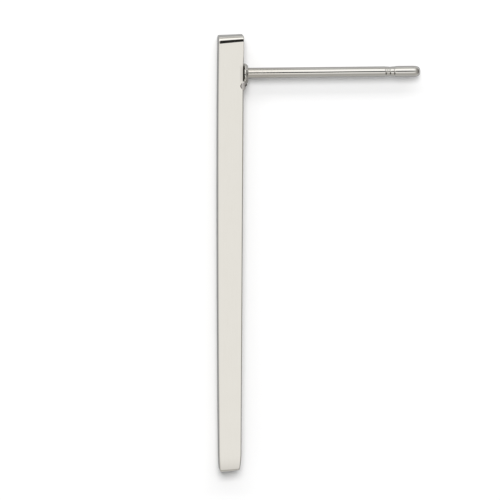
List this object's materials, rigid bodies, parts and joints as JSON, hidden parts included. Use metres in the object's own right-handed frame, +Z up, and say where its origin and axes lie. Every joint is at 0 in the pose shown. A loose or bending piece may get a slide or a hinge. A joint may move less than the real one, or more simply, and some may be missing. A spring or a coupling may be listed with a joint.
{
  "type": "bar earring",
  "caption": "Straight square bar stud earring in mirror-polished steel, with a slim ear post welded to the back near its top and notched for an ear nut.",
  "frame": {"origin": "middle of the side of the bar that rests on the surface", "axes": "+X from the front of the bar to its back and, to half a degree, along the ear post, +Y along the bar towards its top end, +Z up from the surface that the earring lies on"},
  "size_m": [0.0147, 0.0322, 0.002],
  "materials": {
    "polished_steel": "mirror-polished stainless steel, drawn on the post, smooth and lumpy at the weld"
  },
  "bodies": {
    "root": {"bar_stud": "polished_steel"}
  },
  "joints": []
}
